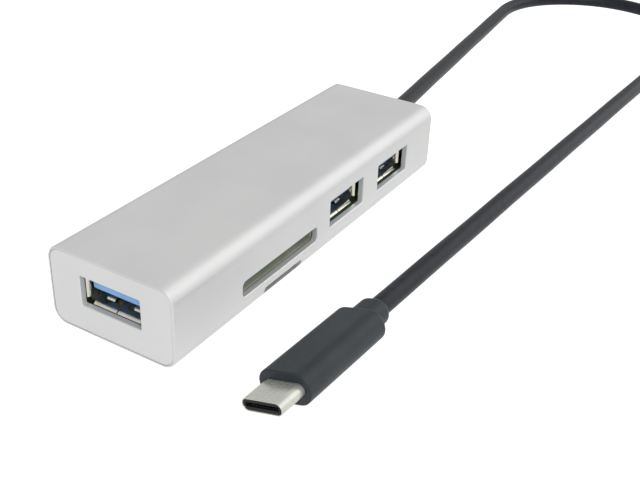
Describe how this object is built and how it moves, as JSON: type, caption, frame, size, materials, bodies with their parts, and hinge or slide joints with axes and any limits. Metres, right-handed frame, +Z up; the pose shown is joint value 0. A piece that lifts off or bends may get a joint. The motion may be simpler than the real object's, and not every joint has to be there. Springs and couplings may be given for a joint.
{
  "type": "usb hub",
  "caption": "Slim aluminium USB hub with type-A ports on one side and one end, an SD slot, a microSD slot and a captive cable with a USB-C plug.",
  "frame": {"origin": "centre of the housing's underside, on the face that rests on the table", "axes": "+X along the housing towards the end where the cable leaves, -Y towards the side with the ports and card slots, +Z up"},
  "size_m": [0.2524, 0.0648, 0.0161],
  "materials": {
    "sleeve_aluminium": "bead-blasted, clear anodised, satin",
    "cap_aluminium": "fine satin, slightly lighter than the sleeve",
    "black_plastic": "moulded black plastic",
    "socket_plastic": "moulded grey-green plastic",
    "frame_plastic": "moulded dark grey plastic",
    "board_green": "solder mask over glass fibre",
    "chip_package": "moulded epoxy with tinned leads",
    "ferrite": "ferrite core",
    "crystal_can": "plain metal can",
    "ceramic": "ceramic with tinned ends",
    "resistor_film": "black film on ceramic",
    "port_steel": "nickel-plated steel",
    "tongue_blue": "moulded blue plastic",
    "contact_gold": "gold-plated contact",
    "socket_steel": "plated socket cover",
    "slider_plastic": "ivory plastic",
    "spring_steel": "spring wire",
    "cable_jacket": "satin dark grey jacket",
    "wire_cover": "coloured wire insulation",
    "plug_rubber": "satin black overmould with a bluish sheen",
    "plug_steel": "nickel-plated steel"
  },
  "bodies": {
    "housing": {"housing_sleeve": "sleeve_aluminium", "front_cap": "cap_aluminium", "rear_cap": "cap_aluminium", "board_frame": "frame_plastic", "main_board": "board_green", "hub_chip": "chip_package", "card_reader_chip": "chip_package", "voltage_regulator": "chip_package", "power_inductor": "ferrite", "crystals": "crystal_can", "capacitors": "ceramic", "resistors": "resistor_film", "end_port_shell": "port_steel", "end_port_tongue": "tongue_blue", "end_port_contacts": "contact_gold", "mid_port_shell": "port_steel", "mid_port_tongue": "tongue_blue", "mid_port_contacts": "contact_gold", "rear_port_shell": "port_steel", "rear_port_tongue": "tongue_blue", "rear_port_contacts": "contact_gold", "sd_socket_base": "socket_plastic", "sd_socket_cover": "socket_steel", "sd_socket_contacts": "contact_gold", "micro_socket_base": "socket_plastic", "micro_socket_cover": "socket_steel", "micro_socket_contacts": "contact_gold", "micro_spring": "spring_steel", "cable_grommet": "cable_jacket", "cable_stub": "cable_jacket", "cable_wires": "wire_cover"},
    "micro_slider": {"micro_slider": "slider_plastic"},
    "cable_hub_run_1": {"cable_hub_run_1": "cable_jacket"},
    "cable_hub_run_2": {"cable_hub_run_2": "cable_jacket"},
    "cable_hub_run_3": {"cable_hub_run_3": "cable_jacket"},
    "cable_loop_1": {"cable_loop_1": "cable_jacket"},
    "cable_loop_2": {"cable_loop_2": "cable_jacket"},
    "cable_loop_3": {"cable_loop_3": "cable_jacket"},
    "cable_loop_4": {"cable_loop_4": "cable_jacket"},
    "cable_loop_5": {"cable_loop_5": "cable_jacket"},
    "cable_loop_6": {"cable_loop_6": "cable_jacket"},
    "cable_loop_7": {"cable_loop_7": "cable_jacket"},
    "cable_loop_8": {"cable_loop_8": "cable_jacket"},
    "cable_loop_9": {"cable_loop_9": "cable_jacket"},
    "cable_plug_run_1": {"cable_plug_run_1": "cable_jacket"},
    "cable_plug_run_2": {"cable_plug_run_2": "cable_jacket"},
    "cable_plug_run_3": {"cable_plug_run_3": "cable_jacket"},
    "plug": {"plug_neck": "plug_rubber", "plug_overmould": "plug_rubber", "plug_shell": "plug_steel", "plug_insulator": "black_plastic", "plug_contacts": "contact_gold", "plug_latch": "plug_steel", "plug_board": "board_green"}
  },
  "joints": [
    {"name": "cable_exit_bend", "type": "hinge", "parent": "housing", "child": "cable_hub_run_1", "pos_m": [0.0506, 0, 0.00805], "axis": [0, 0, 1], "range_deg": [-0.5, 12], "stiffness_Nm_per_rad": 0.02},
    {"name": "hub_run_bend_2", "type": "hinge", "parent": "cable_hub_run_1", "child": "cable_hub_run_2", "pos_m": [0.08889, 0.00538, 0.00663], "axis": [0, 0, 1], "range_deg": [-0.5, 12], "stiffness_Nm_per_rad": 0.02},
    {"name": "hub_run_bend_3", "type": "hinge", "parent": "cable_hub_run_2", "child": "cable_hub_run_3", "pos_m": [0.12718, 0.01076, 0.00522], "axis": [0, 0, 1], "range_deg": [-0.5, 12], "stiffness_Nm_per_rad": 0.02},
    {"name": "loop_open", "type": "hinge", "parent": "cable_hub_run_3", "child": "cable_loop_1", "pos_m": [0.16547, 0.01614, 0.0038], "axis": [0, 0, 1], "range_deg": [0, 19], "stiffness_Nm_per_rad": 0.02},
    {"name": "loop_open_2", "type": "hinge", "parent": "cable_loop_1", "child": "cable_loop_2", "pos_m": [0.17665, 0.01564, 0.0038], "axis": [0, 0, 1], "range_deg": [0, 19], "stiffness_Nm_per_rad": 0.02},
    {"name": "loop_open_3", "type": "hinge", "parent": "cable_loop_2", "child": "cable_loop_3", "pos_m": [0.18689, 0.01112, 0.0038], "axis": [0, 0, 1], "range_deg": [0, 19], "stiffness_Nm_per_rad": 0.02},
    {"name": "loop_open_4", "type": "hinge", "parent": "cable_loop_3", "child": "cable_loop_4", "pos_m": [0.1948, 0.0032, 0.0038], "axis": [0, 0, 1], "range_deg": [0, 19], "stiffness_Nm_per_rad": 0.02},
    {"name": "loop_open_5", "type": "hinge", "parent": "cable_loop_4", "child": "cable_loop_5", "pos_m": [0.1993, -0.00704, 0.0038], "axis": [0, 0, 1], "range_deg": [0, 19], "stiffness_Nm_per_rad": 0.02},
    {"name": "loop_open_6", "type": "hinge", "parent": "cable_loop_5", "child": "cable_loop_6", "pos_m": [0.1998, -0.01822, 0.0038], "axis": [0, 0, 1], "range_deg": [0, 19], "stiffness_Nm_per_rad": 0.02},
    {"name": "loop_open_7", "type": "hinge", "parent": "cable_loop_6", "child": "cable_loop_7", "pos_m": [0.19622, -0.02882, 0.0038], "axis": [0, 0, 1], "range_deg": [0, 19], "stiffness_Nm_per_rad": 0.02},
    {"name": "loop_open_8", "type": "hinge", "parent": "cable_loop_7", "child": "cable_loop_8", "pos_m": [0.18905, -0.03741, 0.0038], "axis": [0, 0, 1], "range_deg": [0, 19], "stiffness_Nm_per_rad": 0.02},
    {"name": "loop_open_9", "type": "hinge", "parent": "cable_loop_8", "child": "cable_loop_9", "pos_m": [0.17925, -0.04282, 0.0038], "axis": [0, 0, 1], "range_deg": [0, 19], "stiffness_Nm_per_rad": 0.02},
    {"name": "loop_open_10", "type": "hinge", "parent": "cable_loop_9", "child": "cable_plug_run_1", "pos_m": [0.16816, -0.04432, 0.0038], "axis": [0, 0, 1], "range_deg": [0, 19], "stiffness_Nm_per_rad": 0.02},
    {"name": "plug_run_bend_2", "type": "hinge", "parent": "cable_plug_run_1", "child": "cable_plug_run_2", "pos_m": [0.10708, -0.04123, 0.0038], "axis": [0, 0, 1], "range_deg": [-1.25, 7.5], "stiffness_Nm_per_rad": 0.02},
    {"name": "plug_run_bend_3", "type": "hinge", "parent": "cable_plug_run_2", "child": "cable_plug_run_3", "pos_m": [0.04599, -0.03813, 0.0038], "axis": [0, 0, 1], "range_deg": [-1.25, 7.5], "stiffness_Nm_per_rad": 0.02},
    {"name": "plug_bend", "type": "hinge", "parent": "cable_plug_run_3", "child": "plug", "pos_m": [-0.0151, -0.03504, 0.0038], "axis": [0, 0, 1], "range_deg": [-5, 30], "stiffness_Nm_per_rad": 0.02},
    {"name": "micro_slider_push", "type": "slide", "parent": "housing", "child": "micro_slider", "axis": [0, 1, 0], "range_m": [0, 0.0012], "stiffness_N_per_m": 300, "deforming": ["micro_spring"]}
  ],
  "couplings": [
    {"joint": "hub_run_bend_2", "follows": "cable_exit_bend", "ratio": 1},
    {"joint": "hub_run_bend_3", "follows": "cable_exit_bend", "ratio": 1},
    {"joint": "loop_open_2", "follows": "loop_open", "ratio": 1},
    {"joint": "loop_open_3", "follows": "loop_open", "ratio": 1},
    {"joint": "loop_open_4", "follows": "loop_open", "ratio": 1},
    {"joint": "loop_open_5", "follows": "loop_open", "ratio": 1},
    {"joint": "loop_open_6", "follows": "loop_open", "ratio": 1},
    {"joint": "loop_open_7", "follows": "loop_open", "ratio": 1},
    {"joint": "loop_open_8", "follows": "loop_open", "ratio": 1},
    {"joint": "loop_open_9", "follows": "loop_open", "ratio": 1},
    {"joint": "loop_open_10", "follows": "loop_open", "ratio": 1},
    {"joint": "plug_run_bend_2", "follows": "plug_bend", "ratio": 0.25},
    {"joint": "plug_run_bend_3", "follows": "plug_bend", "ratio": 0.25}
  ]
}
